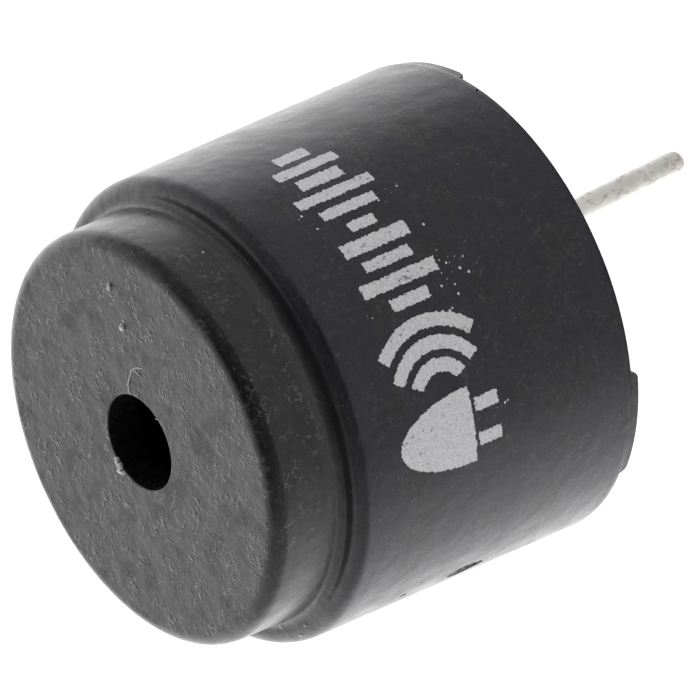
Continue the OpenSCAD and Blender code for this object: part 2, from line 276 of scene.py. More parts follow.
class Finish:
    """A material's node tree, with the nodes that several finishes need."""

    def __init__(self, name):
        self.material = bpy.data.materials.new(name)
        self.material.use_nodes = True
        self.tree = self.material.node_tree
        self.tree.nodes.clear()
        self.place = self.node("ShaderNodeTexCoord", output="Object")

    def node(self, kind, settings=None, sockets=None, output=0):
        return add_node(self.tree, kind, settings, sockets, output)

    def height(self):
        return self.node("ShaderNodeSeparateXYZ", None, {0: self.place}, output="Z")

    def uv(self, name):
        return self.node("ShaderNodeUVMap", {"uv_map": name})

    def stretched(self, where, scale, turn=0.0, shift=(0, 0, 0)):
        """The place turned about Z by turn degrees, then scaled along each axis."""
        turned = self.node("ShaderNodeVectorRotate", {"rotation_type": "Z_AXIS"},
                           {"Vector": where, "Angle": math.radians(turn)})
        scaled = self.node("ShaderNodeVectorMath", {"operation": "MULTIPLY"},
                           {0: turned, 1: scale})
        return self.node("ShaderNodeVectorMath", {"operation": "ADD"}, {0: scaled, 1: shift})

    def noise(self, where, scale, detail=2.0, rough=0.5):
        sockets = {"Vector": where, "Scale": scale, "Detail": detail, "Roughness": rough}
        return self.node("ShaderNodeTexNoise", None, sockets)

    def blend(self, factor, first, second):
        """A colour between two colours."""
        sockets = {0: factor, 6: rgba(first), 7: rgba(second)}
        return self.node("ShaderNodeMix", {"data_type": "RGBA"}, sockets, output=2)

    def bump(self, height, depth_mm, normal=None):
        """A normal from a height between 0 and 1, which stands for depth_mm."""
        sockets = {"Height": height, "Distance": depth_mm * MM, "Strength": 1.0}
        if normal:
            sockets["Normal"] = normal
        return self.node("ShaderNodeBump", None, sockets)

    def surface(self, constants, **sockets):
        """The Principled surface: plain values first, then what changes over it."""
        names = {"color": "Base Color", "roughness": "Roughness", "metallic": "Metallic",
                 "normal": "Normal"}
        values = dict(constants)
        values.update({names[k]: v for k, v in sockets.items()})
        shader = self.node("ShaderNodeBsdfPrincipled", None, values)
        self.node("ShaderNodeOutputMaterial", None, {"Surface": shader})
        return self.material


def rgba(colour):
    return colour if isinstance(colour, Wire) else (*colour, 1.0)


# ---------------------------------------------------------------- finishes
SKIN = "skin"             # the case's own map, in millimetres along its surface
MAP_SHIFT = 40            # keeps the whole map clear of zero


# Sets of glass fibres in the skin: slant in degrees, length, width and shift.
FLECK_SETS = ((18, 0.2, 0.085, 0.0), (64, 0.16, 0.08, 31.7), (131, 0.18, 0.08, 77.3))
# Sets of fine threads in it: scale, width and shift.
THREAD_SETS = ((2.2, 0.05, 0.0), (3.1, 0.065, 19.3), (4.3, 0.085, 53.9))


def fibre_flecks(finish, skin):
    """Short glass fibres that lie in the surface: three sets, each at its own slant."""
    flecks = None
    for turn, length, width, shift in FLECK_SETS:
        where = finish.stretched(skin, (1 / length, 1 / width, 1.0), turn, (shift, shift, 0))
        one = finish.noise(where, 1.0, 0.0, 0.4).rise(0.72, 0.84)
        flecks = one if flecks is None else flecks.most(one)
    return flecks


def wavy_threads(finish, skin):
    """Fine curved threads in the skin, broken into short lengths and lying in clusters."""
    threads = None
    for scale, width, shift in THREAD_SETS:
        where = finish.stretched(skin, (1.0, 1.0, 1.0), 0, (shift, shift, 0))
        line = 1 - (finish.noise(where, scale, 1.0, 0.4) - 0.5).abs().rise(width * 0.2, width)
        broken = finish.noise(where, scale * 1.1, 1.0, 0.5).rise(0.54, 0.62)
        one = line * broken
        threads = one if threads is None else threads.most(one)
    clusters = finish.noise(skin, 1.1, 2.0, 0.6).rise(0.46, 0.6, 0.1, 1.0)
    return threads * clusters


def case_plastic():
    """Black glass-filled moulding plastic: mottled, finely grained, with short pale flecks."""
    f = Finish("case_plastic")
    skin = f.uv(SKIN)
    height = f.height()
    # Where each zone lies: 1 on the face and on the boss.
    face = height.ramp((FACE_Z - 0.02) * MM, (FACE_Z - 0.005) * MM)
    boss = height.ramp(SHOULDER_Z * MM, (SHOULDER_Z + 0.3) * MM)
    broad = f.noise(skin, 0.8, 3.0, 0.6)
    lumps = f.noise(skin, 3.0, 1.5, 0.5)
    grain = f.noise(skin, 9.0, 2.0, 0.6)
    flecks = fibre_flecks(f, skin) * broad.rise(0.42, 0.62, 0.2, 1.0)
    threads = wavy_threads(f, skin)
    marks = flecks + (boss * 0.65 + 0.35) * threads
    # The shoulder's round and the boss's foot are painted paler: painted fill light in the crease,
    # where its own shade falls. The stand-offs are paler too.
    corner = (height.ramp((SHOULDER_Z - 0.35) * MM, (SHOULDER_Z - 0.05) * MM, 0.0, 0.3)
              + height.ramp(SHOULDER_Z * MM, (SHOULDER_Z + 0.2) * MM, 0.0, 0.2))
    corner = corner * height.ramp((SHOULDER_Z + 0.7) * MM, (SHOULDER_Z + 0.25) * MM)
    lugs = height.ramp(RIM_Z * MM, (RIM_Z - 0.04) * MM, 0.0, 0.16) * lumps.rise(0.4, 0.6)
    tone = (broad * 0.6 + lumps * 0.4).ramp(0.34, 0.66)
    swell = f.noise(skin, 1.05, 1.0, 0.45)
    patches = f.noise(skin, 0.55, 2.0, 0.5).rise(0.5, 0.62)
    tint = f.blend(patches, (0.0098, 0.0087, 0.0182), (0.0106, 0.0096, 0.0118))
    dark = f.blend(boss, tint, (0.0100, 0.0100, 0.0100))
    # corner adds the painted fill light of the shoulder's crease to the colour.
    pale = (corner + lugs + tone * (0.12 + boss * 0.06 + face * 0.17)
            + marks * (0.62 + boss * 0.08 + face * 0.2))
    colour = f.blend(pale, dark, (0.099, 0.099, 0.099))
    rough = grain.ramp(0.3, 0.7, 0.26, 0.34) + broad.ramp(0.3, 0.7, -0.05, 0.06)
    rough = rough + face * broad.rise(0.5, 0.64) * 0.16
    fine = f.bump(swell * 0.35 + lumps * 0.11 + grain * 0.02 + (flecks + threads) * 0.035, 0.088)
    relief = f.bump(swell * 0.35 + lumps * 0.16 + grain * 0.03 + threads * 0.3, 0.085)
    normal = f.node("ShaderNodeMix", {"data_type": "VECTOR"}, {0: face, 4: fine, 5: relief},
                    output=1)
    return f.surface({"IOR": 1.5}, color=colour, roughness=rough, normal=normal)


def print_ink():
    """Matt pale grey ink with pinholes and thin places."""
    f = Finish("print_ink")
    where = f.place
    grain = f.noise(where, 14000.0, 3.0, 0.6)
    specks = f.noise(where, 7000.0, 2.0, 0.6)
    patches = f.noise(where, 700.0, 2.0, 0.5)
    worn = patches.rise(0.52, 0.68)
    thin = grain.rise(0.27, 0.36) * (specks + worn * -0.08).rise(0.27, 0.36)
    colour = f.blend(thin, (0.2, 0.2, 0.21), (0.735, 0.735, 0.75))
    tone = f.blend(grain.rise(0.36, 0.64) * 0.62, colour, (0.42, 0.42, 0.43))
    rough = grain.ramp(0.3, 0.7, 0.5, 0.7)
    return f.surface({"IOR": 1.45}, color=tone, roughness=rough, normal=f.bump(grain, 0.01))


def tinned_wire():
    """Dull dipped tin, mottled, with a net of fine dark lines and a darker cut end."""
    f = Finish("tinned_wire")
    height = f.height()
    mottle = f.noise(f.place, 1800.0, 4.0, 0.6)
    fine = f.noise(f.place, 9000.0, 2.0, 0.6)
    along = f.stretched(f.place, (1.0, 1.0, 0.6))
    net = 1 - (f.noise(along, 2600.0, 3.0, 0.55) - 0.5).abs().rise(0.006, 0.045)
    broken = net * f.noise(f.place, 1500.0, 1.0, 0.5).rise(0.4, 0.52)
    lines = broken.most(fine.rise(0.66, 0.74) * 0.6)
    end = height.rise((PIN_TIP_Z + 0.24) * MM, (PIN_TIP_Z + 0.1) * MM)
    warm = f.noise(f.place, 1100.0, 1.0, 0.5).rise(0.5, 0.62)
    metal = f.blend(warm, (0.80, 0.785, 0.71), (0.84, 0.775, 0.715))
    colour = f.blend(mottle.rise(0.35, 0.65), metal, (0.90, 0.89, 0.83))
    stain = (lines * 0.42).most(end * mottle.rise(0.45, 0.55))
    dull = f.blend(stain, colour, (0.25, 0.24, 0.2))
    relief = f.bump(mottle * 0.6 + fine * 0.4, 0.012)
    return f.surface({"IOR": 2.0}, color=dull, roughness=mottle.ramp(0.3, 0.7, 0.62, 0.5),
                     metallic=mottle.ramp(0.2, 0.8, 0.4, 0.3), normal=relief)


def potting_epoxy():
    """Poured black epoxy: glossy, slightly uneven, with a few pinholes."""
    f = Finish("potting_epoxy")
    waves = f.noise(f.place, 350.0, 2.0, 0.5)
    dust = f.noise(f.place, 5200.0, 2.0, 0.6)
    holes = f.node("ShaderNodeTexVoronoi", None, {"Vector": f.place, "Scale": 700.0},
                   output="Distance")
    pits = 1 - holes.rise(0.03, 0.09)
    colour = f.blend(dust.rise(0.55, 0.75) * 0.4, (0.008, 0.008, 0.009), (0.05, 0.05, 0.05))
    relief = f.bump(pits * -1.0, 0.05, f.bump(waves, 0.25))
    return f.surface({"IOR": 1.55}, color=colour, roughness=dust.ramp(0.3, 0.7, 0.12, 0.3),
                     normal=relief)


def speckled(name, dark, light, scale, rough, relief_mm, constants):
    """A plain finish that varies at one scale: what the inner pieces have."""
    f = Finish(name)
    coarse = f.noise(f.place, scale, 3.0, 0.6)
    fine = f.noise(f.place, scale * 6, 2.0, 0.6)
    colour = f.blend(coarse.rise(0.3, 0.7), dark, light)
    roughness = (coarse * 0.5 + fine * 0.5).ramp(0.3, 0.7, *rough)
    return f.surface(constants, color=colour, roughness=roughness, normal=f.bump(fine, relief_mm))


def wound_wire():
    """Enamelled wire: fine turns round the axis, one above the other."""
    f = Finish("enamelled_copper")
    turns = (f.height() * (math.tau / (WIRE_PITCH * MM))).math("SINE")
    tone = f.noise(f.place, 900.0, 2.0, 0.5)
    colour = f.blend(tone.rise(0.3, 0.7), (0.36, 0.12, 0.035), (0.62, 0.25, 0.08))
    relief = f.bump(turns * 0.5 + 0.5, 0.02)
    return f.surface({"Metallic": 0.85, "IOR": 1.6}, color=colour,
                     roughness=tone.ramp(0.3, 0.7, 0.25, 0.4), normal=relief)


# The plain finishes by the record's slot: the dark and the light colour, how fine they vary, the
# range of roughness, the relief in millimetres and the constant values.
PLAIN_FINISHES = {
    "spring_steel": ((0.50, 0.50, 0.49), (0.62, 0.62, 0.60), 900.0, (0.22, 0.36), 0.004,
                     {"IOR": 2.5, "Metallic": 1.0}),
    "soft_iron": ((0.44, 0.44, 0.42), (0.60, 0.60, 0.57), 1200.0, (0.28, 0.45), 0.008,
                  {"IOR": 2.5, "Metallic": 1.0}),
    "ferrite": ((0.035, 0.036, 0.040), (0.075, 0.075, 0.08), 2500.0, (0.5, 0.75), 0.02,
                {"IOR": 1.6}),
    "natural_nylon": ((0.66, 0.64, 0.56), (0.76, 0.74, 0.67), 600.0, (0.38, 0.52), 0.008,
                      {"IOR": 1.53, "Subsurface Weight": 0.1, "Subsurface Scale": 0.0006}),
    "solder_tin": ((0.56, 0.56, 0.55), (0.74, 0.74, 0.73), 2200.0, (0.16, 0.34), 0.01,
                   {"IOR": 2.2, "Metallic": 0.95}),
    "phenolic_board": ((0.20, 0.11, 0.045), (0.29, 0.17, 0.075), 700.0, (0.4, 0.55), 0.006,
                       {"IOR": 1.55}),
    "transistor_body": ((0.016, 0.016, 0.017), (0.03, 0.03, 0.031), 3000.0, (0.4, 0.6), 0.008,
                        {"IOR": 1.5}),
    "diode_glass": ((0.34, 0.10, 0.03), (0.46, 0.15, 0.05), 1500.0, (0.06, 0.14), 0.003,
                    {"IOR": 1.52, "Transmission Weight": 0.25}),
    "chip_ceramic": ((0.50, 0.40, 0.27), (0.62, 0.51, 0.36), 2600.0, (0.35, 0.5), 0.006,
                     {"IOR": 1.6}),
}


def white_flash():
    """White, translucent flakes and burrs of the moulding."""
    f = Finish("white_flash")
    tone = f.noise(f.place, 9000.0, 2.0, 0.6)
    colour = f.blend(tone.rise(0.3, 0.6), (0.86, 0.86, 0.86), (0.97, 0.97, 0.965))
    through = {"IOR": 1.5, "Subsurface Weight": 1.0, "Subsurface Radius": (1.0, 1.0, 1.0),
               "Subsurface Scale": 0.15 * MM}
    return f.surface(through, color=colour, roughness=tone.ramp(0.3, 0.7, 0.5, 0.7),
                     normal=f.bump(tone, 0.01))


def white_paper():
    """White paper under the part: it shows white and takes the part's shadow."""
    f = Finish("white_paper")
    fibres = f.noise(f.place, 220.0, 3.0, 0.6)
    paper = f.node("ShaderNodeBsdfDiffuse", None,
                   {"Color": f.blend(fibres.rise(0.3, 0.7), (0.86, 0.86, 0.86), (0.9, 0.9, 0.9))})
    glow = f.node("ShaderNodeEmission", None, {"Color": (1, 1, 1, 1), "Strength": 0.8})
    lit = f.node("ShaderNodeAddShader", None, {0: paper, 1: glow})
    under = f.node("ShaderNodeNewGeometry", output="Backfacing")
    clear = f.node("ShaderNodeBsdfTransparent")
    both = f.node("ShaderNodeMixShader", None, {0: under, 1: lit, 2: clear})
    f.node("ShaderNodeOutputMaterial", None, {"Surface": both})
    return f.material


# ---------------------------------------------------------------- mesh helpers
def new_piece(name, mesh, material, node=None):
    """A finished piece: it rides on the part's one body and may stand for a CAD node."""
    piece = bpy.data.objects.new(name, mesh)
    bpy.context.scene.collection.objects.link(piece)
    mesh.materials.clear()
    mesh.materials.append(material)
    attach(piece, "root")
    if node:
        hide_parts(node)


def arc(centre_r, centre_z, radius, start, end, steps):
    """Points (r, z) on an arc from start to end, in degrees."""
    turns = (math.radians(start + (end - start) * i / steps) for i in range(steps + 1))
    return [(centre_r + radius * math.cos(t), centre_z + radius * math.sin(t)) for t in turns]


def join_rings(bm, rings):
    """Joins each ring of points to the next one with a band of faces."""
    for here, ahead in zip(rings, rings[1:]):
        for i in range(len(here)):
            k = (i + 1) % len(here)
            bm.faces.new((here[i], here[k], ahead[k], ahead[i]))


def cap_ends(bm, rings):
    """Closes both ends of a row of joined rings."""
    bm.faces.new(rings[0])
    bm.faces.new(rings[-1][::-1])


def lathe(outline, segments):
    """A closed mesh turned round the axis from a closed outline of (r, z)."""
    bm = bmesh.new()
    rings = []
    for s in range(segments):
        turn = math.tau * s / segments
        x, y = math.cos(turn), math.sin(turn)
        rings.append([bm.verts.new((r * x * MM, r * y * MM, z * MM)) for r, z in outline])
    join_rings(bm, rings + rings[:1])
    bmesh.ops.recalc_face_normals(bm, faces=bm.faces)
    return bm


def as_mesh(bm, name, smooth_deg=35.0):
    mesh = bpy.data.meshes.new(name)
    bm.to_mesh(mesh)
    bm.free()
    mesh.shade_smooth()
    mesh.set_sharp_from_angle(angle=math.radians(smooth_deg))
    return mesh


def scratch(bm, name):
    """A temporary object for a boolean."""
    mesh = bpy.data.meshes.new(name)
    bm.to_mesh(mesh)
    bm.free()
    obj = bpy.data.objects.new(name, mesh)
    bpy.context.scene.collection.objects.link(obj)
    return obj


def combine(base, tools):
    """Joins or cuts the base with each (operation, tool) and returns a bmesh."""
    for operation, tool in tools:
        step = base.modifiers.new(tool.name, "BOOLEAN")
        step.operation = operation
        step.object = tool
        step.solver = "EXACT"
    graph = bpy.context.evaluated_depsgraph_get()
    mesh = bpy.data.meshes.new_from_object(base.evaluated_get(graph))
    bm = bmesh.new()
    bm.from_mesh(mesh)
    bpy.data.meshes.remove(mesh)
    for obj in (base, *(tool for _, tool in tools)):
        data = obj.data
        bpy.data.objects.remove(obj)
        bpy.data.meshes.remove(data)
    return bm


# ---------------------------------------------------------------- the case
def case_radius(z):
    """The case's outside radius at a height on its tapered side."""
    return RIM_R - (z - RIM_Z) * math.tan(DRAFT)


def case_outline():
    """The case's half section, once round, with its edges eased."""
    bore = RIM_R - WALL
    roof = FACE_Z - TOP_WALL
    ledge = roof - CHAMBER_H
    boss = RIM_R - SHOULDER_W
    boss_top = boss - (FACE_Z - SHOULDER_Z) * math.tan(DRAFT)
    shoulder = case_radius(SHOULDER_Z)
    inside = [(bore - LEDGE_W, roof), (bore - LEDGE_W, ledge), (bore, ledge)]
    ease_in, ease_up = RIM_EASE
    rim = arc(bore + EDGE, RIM_Z + EDGE, EDGE, 180, 270, 3)
    rim += [(RIM_R + ease_in * (r - 1), RIM_Z + ease_up * (z + 1))
            for r, z in arc(0, 0, 1, 270, 360, 12)]
    first, apart, count = SIDE_RINGS
    levels = [RIM_Z + ease_up + HOLD, *(RIM_Z + first + i * apart for i in range(count)),
              SHOULDER_Z - SHOULDER_ROUND - HOLD]
    outside = [(case_radius(z), z) for z in levels]
    corner = arc(shoulder - SHOULDER_ROUND, SHOULDER_Z - SHOULDER_ROUND, SHOULDER_ROUND, 0, 90, 14)
    foot = arc(boss + FOOT_ROUND, SHOULDER_Z + FOOT_ROUND, FOOT_ROUND, 270, 180, 10)
    foot_top, top_foot = SHOULDER_Z + FOOT_ROUND + HOLD, FACE_Z - BOSS_ROUND - HOLD
    thirds = (foot_top, (foot_top * 2 + top_foot) / 3, (foot_top + top_foot * 2) / 3, top_foot)
    wall = [(boss - (z - SHOULDER_Z) * math.tan(DRAFT), z) for z in thirds]
    top = arc(boss_top - BOSS_ROUND, FACE_Z - BOSS_ROUND, BOSS_ROUND, 0, 90, 18)
    flat = [(r, FACE_Z)
            for r in (boss_top - BOSS_ROUND - HOLD, *FACE_RINGS, PORT_R + EDGE + HOLD)]
    port = arc(PORT_R + EDGE, FACE_Z - EDGE, EDGE, 90, 180, 6) + [(PORT_R, roof)]
    return inside + rim + outside + corner + foot + wall + top + flat + port


def standoff_block(turn):
    """One stand-off: a stretch of the rim's ring with its ends rounded off below."""
    inner, outer = RIM_R - WALL + STANDOFF_INSET, RIM_R - STANDOFF_INSET
    middle = (inner + outer) / 2
    half = math.radians(STANDOFF_ARC / 2)
    bends = [math.radians(90 * k / ROUND_STEPS) for k in range(ROUND_STEPS + 1)]
    rounds = [(half - STANDOFF_ROUND * (1 - math.cos(t)) / middle,
               STANDOFF_ROUND * (1 - math.sin(t))) for t in bends]
    inside = rounds[-1][0]
    level = [(inside - 2 * inside * k / LEVEL_STEPS, 0.0) for k in range(1, LEVEL_STEPS)]
    stations = rounds + level + [(-t, z) for t, z in reversed(rounds)]
    bm = bmesh.new()
    rows = []
    for t, low in stations:
        section = [(inner, RIM_Z + EDGE), (inner, low + EDGE), (inner + EDGE, low),
                   (outer - EDGE, low), (outer, low + EDGE), (outer, RIM_Z + EDGE)]
        a = math.radians(turn) + t
        rows.append([bm.verts.new((r * math.cos(a) * MM, r * math.sin(a) * MM, z * MM))
                     for r, z in section])
    join_rings(bm, rows)
    cap_ends(bm, rows)
    bmesh.ops.recalc_face_normals(bm, faces=bm.faces)
    return bm


def pit_cutter(turn, z, reach, depth, nub, seed):
    """Leaves a shallow oval pit with a ragged edge, an uneven floor and a nub in its middle."""
    rng = random.Random(seed)
    floor_r = case_radius(z) - depth
    turns = [math.tau * i / PIT_SIDES for i in range(PIT_SIDES)]
    edge = [reach * (1 + PIT_RAG * math.sin(3 * a) + rng.uniform(-PIT_RAG, PIT_RAG)) for a in turns]
    # Height over the floor and share of the reach: the nub, the floor, its wall, the free end.
    profile = ((nub, 0.16), (nub * 0.85, 0.28), (0.0, 0.42), (depth * 0.2, 0.75),
               (depth * 0.9, 0.97), (PIT_CLEAR, 1.12))
    bm = bmesh.new()
    rows = []
    for rise, share in profile:
        row = []
        for a, far in zip(turns, edge):
            wobble = rng.uniform(-PIT_GRAIN, PIT_GRAIN) * depth if rise < PIT_CLEAR else 0
            row.append(bm.verts.new((floor_r + rise + wobble,
                                     far * share * math.cos(a) * PIT_ACROSS,
                                     far * share * math.sin(a) * PIT_ALONG)))
        rows.append(row)
    join_rings(bm, rows)
    cap_ends(bm, rows)
    bmesh.ops.recalc_face_normals(bm, faces=bm.faces)
    bm.transform(Matrix.Scale(MM, 4) @ Matrix.Rotation(math.radians(turn), 4, "Z")
                 @ Matrix.Translation((0, 0, z)))
    return bm


def rim_nub():
    """The crumb of flash that stands on the rim."""
    bm = bmesh.new()
    bmesh.ops.create_icosphere(bm, subdivisions=2, radius=NUB_R)
    bm.transform(Matrix.Scale(MM, 4) @ Matrix.Rotation(math.radians(NUB_TURN), 4, "Z")
                 @ Matrix.Translation((RIM_R - NUB_R * NUB_SINK, 0, RIM_Z + NUB_UP)))
    return bm


def add_skin_map(mesh):
    """The map that the moulding's grain follows: plan on level faces, round and up on the rest."""
    layer = mesh.uv_layers.new(name=SKIN)
    for face in mesh.polygons:
        level = abs(face.normal.z) > 0.7
        centre = math.atan2(face.center.y, face.center.x)
        for corner in face.loop_indices:
            p = mesh.vertices[mesh.loops[corner].vertex_index].co / MM
            if level:
                layer.data[corner].uv = (p.x + MAP_SHIFT, p.y + MAP_SHIFT)
                continue
            turn = math.atan2(p.y, p.x)
            turn += math.tau * round((centre - turn) / math.tau)
            layer.data[corner].uv = (turn * RIM_R, p.z - math.hypot(p.x, p.y) + MAP_SHIFT)


def make_case(material):
    case = scratch(lathe(case_outline(), CASE_SIDES), "case_blank")
    tools = [("UNION", scratch(standoff_block(turn), "standoff_%d" % i))
             for i, turn in enumerate(STANDOFF_TURNS)]
    tools.append(("UNION", scratch(rim_nub(), "nub")))
    for i, pit in enumerate(PITS):
        tools.append(("DIFFERENCE", scratch(pit_cutter(*pit, seed=5 + i), "pit_%d" % i)))
    mesh = as_mesh(combine(case, tools), "case")
    add_skin_map(mesh)
    new_piece("case", mesh, material, "housing")


# ---------------------------------------------------------------- the pins
def make_pin(name, side, lean, material):
    """One pin: the wire in the potting, then the leaning tinned length with its round tip."""
    rng = random.Random(11 + side)
    phases = [rng.uniform(0, math.tau) for _ in TINNING]
    reach = (PIN_KNEE_Z - PIN_TIP_Z - PIN_R) / math.cos(lean) + PIN_R
    bends = [math.radians(90 * k / TIP_RINGS) for k in range(1, TIP_RINGS + 1)]
    rows = [(PIN_R * math.sin(t), PIN_R * (1 - math.cos(t)) * TIP_FLATNESS - reach) for t in bends]
    first = rows[-1][1]
    rows += [(PIN_R, first + (-PIN_KNEE_STEP - first) * k / PIN_RINGS)
             for k in range(1, PIN_RINGS + 1)]
    turns = [math.tau * i / PIN_SIDES for i in range(PIN_SIDES)]
    lean_turn = Matrix.Rotation(lean, 3, "X")
    centre = Vector((side * PIN_PITCH / 2, 0, PIN_KNEE_Z))
    push = ACROSS * side * TIP_BEND
    bm = bmesh.new()
    rings = []
    for r, z in rows:
        bent = push * max(0.0, (TIP_RUN - reach - z) / TIP_RUN) ** 2
        ring = []
        for a in turns:
            lump = sum(height * math.sin(along * z + times * a + phase)
                       for (height, along, times), phase in zip(TINNING, phases))
            far = r + lump * min(1.0, r / PIN_R)
            place = lean_turn @ Vector((far * math.cos(a), far * math.sin(a), z))
            ring.append(bm.verts.new((centre + bent + place) * MM))
        rings.append(ring)
    for z in (PIN_KNEE_Z, PIN_TOP_Z):
        rings.append([bm.verts.new(Vector((centre.x + WIRE_R * math.cos(a),
                                           WIRE_R * math.sin(a), z)) * MM) for a in turns])
    join_rings(bm, rings)
    bm.faces.new(rings[-1])
    apex = bm.verts.new((centre + push + lean_turn @ Vector((0, 0, -reach))) * MM)
    for i in range(PIN_SIDES):
        bm.faces.new((rings[0][(i + 1) % PIN_SIDES], rings[0][i], apex))
    bmesh.ops.recalc_face_normals(bm, faces=bm.faces)
    new_piece(name, as_mesh(bm, name, 50), material, name)


# ---------------------------------------------------------------- the print
def on_side(turn, depth, along, up, proud):
    """A point of the case's side, from a print's middle: along runs round it, up to the face."""
    z = FACE_Z - depth + up
    r = case_radius(z)
    angle = CAMERA_AZIMUTH - math.radians(turn) + along / r
    return Vector(((r + proud) * math.cos(angle), (r + proud) * math.sin(angle), z)) * MM


def ragged(points, rng):
    """A closed outline cut into short steps whose points are off by up to RAG_REACH."""
    out = []
    for i, start in enumerate(points):
        end = points[(i + 1) % len(points)]
        length = math.dist(start, end)
        count = max(1, round(length / RAG_STEP))
        for k in range(count):
            t = k / count
            out.append((start[0] + (end[0] - start[0]) * t + rng.uniform(-RAG_REACH, RAG_REACH),
                        start[1] + (end[1] - start[1]) * t + rng.uniform(-RAG_REACH, RAG_REACH)))
    return out


def ink_patch(bm, outline, turn, depth):
    """Adds one closed patch of ink to bm: the outline laid on the case's side."""
    flat = bmesh.new()
    flat.faces.new([flat.verts.new((x, y, 0)) for x, y in outline])
    left, right = min(x for x, _ in outline), max(x for x, _ in outline)
    cuts = int((right - left) / INK_STRIP)
    for k in range(1, cuts + 1):
        cut = left + (right - left) * k / (cuts + 1)
        bmesh.ops.bisect_plane(flat, geom=flat.verts[:] + flat.edges[:] + flat.faces[:],
                               plane_co=(cut, 0, 0), plane_no=(1, 0, 0))
    bmesh.ops.triangulate(flat, faces=flat.faces)
    top = {v: bm.verts.new(on_side(turn, depth, v.co.x, v.co.y, PRINT_THICK)) for v in flat.verts}
    low = {v: bm.verts.new(on_side(turn, depth, v.co.x, v.co.y, -PRINT_SINK)) for v in flat.verts}
    for face in flat.faces:
        bm.faces.new([top[v] for v in face.verts])
        bm.faces.new([low[v] for v in reversed(face.verts)])
    for edge in flat.edges:
        if edge.is_boundary:
            a, b = edge.verts
            bm.faces.new((top[a], top[b], low[b], low[a]))
    flat.free()


def box_outline(left, low, right, high):
    return [(left, low), (right, low), (right, high), (left, high)]


def make_sign(material):
    """The sign for a buzzer: a filled dome on two legs, with three sound arcs beside it."""
    rng = random.Random(3)
    bm = bmesh.new()
    half_h = SIGN_HEIGHT / 2
    middle = -SIGN_WIDTH / 2 + DOME_R
    base = -half_h + LEG_LENGTH
    dome = [(middle + DOME_R * math.cos(t), base + (half_h - base) * math.sin(t))
            for t in (math.pi * k / 24 for k in range(25))]
    ink_patch(bm, ragged(dome, rng), SIGN_TURN, SIGN_DEPTH)
    for side in (-1, 1):
        leg = middle + side * DOME_R * LEG_SPREAD
        outline = box_outline(leg - STROKE / 2, -half_h, leg + STROKE / 2, base - STROKE * LEG_GAP)
        ink_patch(bm, ragged(outline, rng), SIGN_TURN, SIGN_DEPTH)
    centre = SIGN_WIDTH / 2 - ARC_RADII[-1] - STROKE / 2
    for radius in ARC_RADII:
        far, near = radius + STROKE / 2, radius - STROKE / 2
        reach = min(math.radians(ARC_REACH), math.asin(min(1.0, half_h * ARC_MARGIN / far)))
        turns = [reach * (k / 8 - 1) for k in range(17)]
        outer = [(centre + far * math.cos(t), far * math.sin(t)) for t in turns]
        inner = [(centre + near * math.cos(t), near * math.sin(t)) for t in reversed(turns)]
        ink_patch(bm, ragged(outer + inner, rng), SIGN_TURN, SIGN_DEPTH)
    bmesh.ops.recalc_face_normals(bm, faces=bm.faces)
    new_piece("print_sign", as_mesh(bm, "print_sign"), material, None)


def make_wave(material):
    """A sound wave drawn as a row of upright bars, long and short."""
    rng = random.Random(8)
    bm = bmesh.new()
    pitch = (WAVE_WIDTH - WAVE_BAR) / (len(WAVE_BARS) - 1)
    for i, share in enumerate(WAVE_BARS):
        middle = (WAVE_BAR - WAVE_WIDTH) / 2 + pitch * i
        half, reach = WAVE_BAR * rng.uniform(*BAR_HALVES), WAVE_HEIGHT * share / 2
        bar = box_outline(middle - half, -reach, middle + half, reach)
        ink_patch(bm, ragged(bar, rng), WAVE_TURN, WAVE_DEPTH)
    bmesh.ops.recalc_face_normals(bm, faces=bm.faces)
    new_piece("print_wave", as_mesh(bm, "print_wave"), material, None)


# ---------------------------------------------------------------- ink spatter and moulding crumbs
def spatter_tree(name, material):
    """A node tree that strews flat dots over a patch, denser in blots."""
    tree = bpy.data.node_groups.new(name, "GeometryNodeTree")
    tree.interface.new_socket("Geometry", in_out="INPUT", socket_type="NodeSocketGeometry")
    for label, kind in (("Density", "NodeSocketFloat"), ("Seed", "NodeSocketInt"),
                        ("Smallest", "NodeSocketFloat"), ("Largest", "NodeSocketFloat")):
        tree.interface.new_socket(label, in_out="INPUT", socket_type=kind)
    tree.interface.new_socket("Geometry", in_out="OUTPUT", socket_type="NodeSocketGeometry")

    def given(label):
        return add_node(tree, "NodeGroupInput", output=label)

    blots = add_node(tree, "ShaderNodeTexNoise", None, {"Scale": 1100.0, "Detail": 1.0})
    points = add_node(tree, "GeometryNodeDistributePointsOnFaces", None,
                      {"Mesh": given("Geometry"), "Seed": given("Seed"),
                       "Density": given("Density") * blots.rise(0.46, 0.64)}, output="Points")
    level = Wire(tree, points.socket.node.outputs["Rotation"])
    chance = add_node(tree, "FunctionNodeRandomValue", None, {"Seed": given("Seed")}, output=1)
    size = chance ** 3 * (given("Largest") - given("Smallest")) + given("Smallest")
    flat = add_node(tree, "ShaderNodeCombineXYZ", None,
                    {"X": size, "Y": size, "Z": size * DOT_FLATNESS})
    dot = add_node(tree, "GeometryNodeMeshIcoSphere", None, {"Radius": 1.0, "Subdivisions": 2})
    dots = add_node(tree, "GeometryNodeInstanceOnPoints", None,
                    {"Points": points, "Instance": dot, "Rotation": level, "Scale": flat})
    whole = add_node(tree, "GeometryNodeRealizeInstances", None, {"Geometry": dots})
    inked = add_node(tree, "GeometryNodeSetMaterial", None,
                     {"Geometry": whole, "Material": material})
    add_node(tree, "NodeGroupOutput", None, {"Geometry": inked})
    return tree


